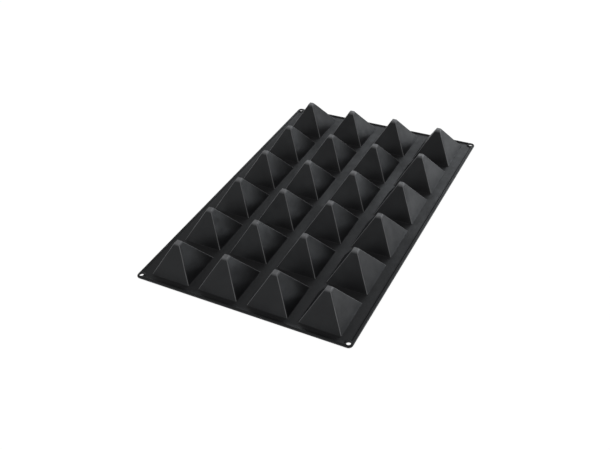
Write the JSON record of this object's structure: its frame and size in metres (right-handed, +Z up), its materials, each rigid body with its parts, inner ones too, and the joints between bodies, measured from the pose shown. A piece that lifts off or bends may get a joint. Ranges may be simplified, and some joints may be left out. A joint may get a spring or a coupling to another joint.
{
  "type": "resin casting mould",
  "caption": "Flexible black silicone sheet mould with blunt pyramid pockets in a grid, a raised bead round its edge and a hanging hole in each corner.",
  "frame": {"origin": "centre of the sheet's outline, on the underside plane where the pocket mouths are", "axes": "+Z up through the closed tips, +Y along the long side, +X along the short side"},
  "size_m": [0.4, 0.6, 0.056],
  "materials": {
    "silicone": "satin"
  },
  "bodies": {
    "row_a": {"pocket_a1": "silicone", "pocket_a2": "silicone", "pocket_a3": "silicone", "pocket_a4": "silicone", "row_a_web": "silicone", "row_a_rim": "silicone"},
    "row_b": {"pocket_b1": "silicone", "pocket_b2": "silicone", "pocket_b3": "silicone", "pocket_b4": "silicone", "row_b_web": "silicone", "row_b_rim": "silicone", "flex_web_ab": "silicone"},
    "row_c": {"pocket_c1": "silicone", "pocket_c2": "silicone", "pocket_c3": "silicone", "pocket_c4": "silicone", "row_c_web": "silicone", "row_c_rim": "silicone", "flex_web_bc": "silicone", "flex_web_cd": "silicone"},
    "row_d": {"pocket_d1": "silicone", "pocket_d2": "silicone", "pocket_d3": "silicone", "pocket_d4": "silicone", "row_d_web": "silicone", "row_d_rim": "silicone", "flex_web_de": "silicone"},
    "row_e": {"pocket_e1": "silicone", "pocket_e2": "silicone", "pocket_e3": "silicone", "pocket_e4": "silicone", "row_e_web": "silicone", "row_e_rim": "silicone", "flex_web_ef": "silicone"},
    "row_f": {"pocket_f1": "silicone", "pocket_f2": "silicone", "pocket_f3": "silicone", "pocket_f4": "silicone", "row_f_web": "silicone", "row_f_rim": "silicone"}
  },
  "joints": [
    {"name": "bend_cd", "type": "hinge", "parent": "row_c", "child": "row_d", "pos_m": [0, 0, 0.001], "axis": [1, 0, 0], "range_deg": [-45, 45], "stiffness_Nm_per_rad": 0.04, "deforming": ["flex_web_cd"]},
    {"name": "bend_de", "type": "hinge", "parent": "row_d", "child": "row_e", "pos_m": [0, 0.098, 0.001], "axis": [1, 0, 0], "range_deg": [-45, 45], "stiffness_Nm_per_rad": 0.04, "deforming": ["flex_web_de"]},
    {"name": "bend_ef", "type": "hinge", "parent": "row_e", "child": "row_f", "pos_m": [0, 0.196, 0.001], "axis": [1, 0, 0], "range_deg": [-45, 45], "stiffness_Nm_per_rad": 0.04, "deforming": ["flex_web_ef"]},
    {"name": "bend_bc", "type": "hinge", "parent": "row_c", "child": "row_b", "pos_m": [0, -0.098, 0.001], "axis": [-1, 0, 0], "range_deg": [-45, 45], "stiffness_Nm_per_rad": 0.04, "deforming": ["flex_web_bc"]},
    {"name": "bend_ab", "type": "hinge", "parent": "row_b", "child": "row_a", "pos_m": [0, -0.196, 0.001], "axis": [-1, 0, 0], "range_deg": [-45, 45], "stiffness_Nm_per_rad": 0.04, "deforming": ["flex_web_ab"]}
  ]
}
